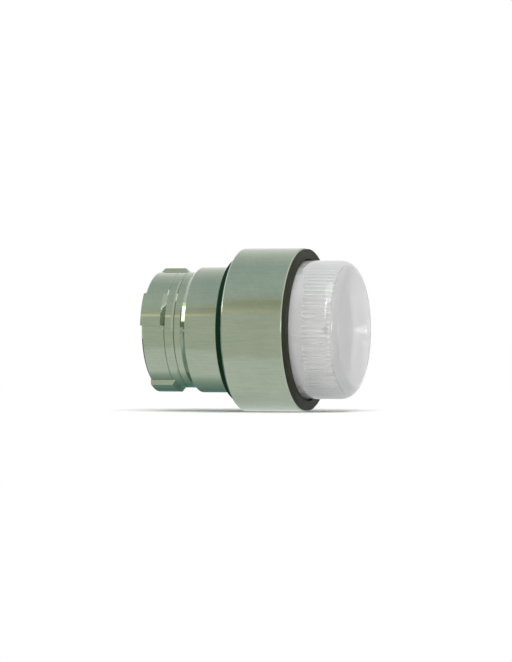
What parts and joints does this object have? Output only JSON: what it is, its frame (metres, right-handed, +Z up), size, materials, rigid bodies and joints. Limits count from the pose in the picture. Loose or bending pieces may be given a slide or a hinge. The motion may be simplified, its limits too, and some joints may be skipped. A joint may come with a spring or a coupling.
{
  "type": "illuminated push button head",
  "caption": "Round illuminated push button head: metal bezel and barrel, projecting ribbed clear lens, spring-return plunger with a lamp way.",
  "frame": {"origin": "on the button's axis, in the plane of the panel's front face, where the gasket's rear face lies", "axes": "+Y along the button's axis into the panel, so that the lens faces -Y; +Z up, with the bayonet lug that runs furthest ahead of the flange nearest the top"},
  "size_m": [0.029, 0.0366, 0.029],
  "materials": {
    "plated_metal": "satin chrome plating on cast zinc",
    "black_plastic": "matte black",
    "gasket_rubber": "dark green-black rubber",
    "clear_lens": "clear to milky, glossy",
    "white_diffuser": "milky translucent",
    "seal_rubber": "black nitrile rubber",
    "white_plastic": "white moulded plastic",
    "bush_plastic": "black acetal",
    "spring_steel": "bright spring steel"
  },
  "bodies": {
    "housing": {"body": "plated_metal", "guard_ring": "black_plastic", "panel_gasket": "gasket_rubber", "seal_retainer": "spring_steel", "wiper_seal": "seal_rubber", "guide_bush": "bush_plastic", "bush_clip": "spring_steel", "stop_washer": "seal_rubber", "return_spring": "spring_steel"},
    "plunger": {"lens": "clear_lens", "diffuser": "white_diffuser", "lens_seal": "seal_rubber", "lens_carrier": "white_plastic", "driver": "white_plastic", "driver_clip": "spring_steel"}
  },
  "joints": [
    {"name": "press", "type": "slide", "parent": "housing", "child": "plunger", "axis": [0, 1, 0], "range_m": [0, 0.0043], "stiffness_N_per_m": 500, "springref_m": -0.004, "deforming": ["return_spring"]}
  ]
}
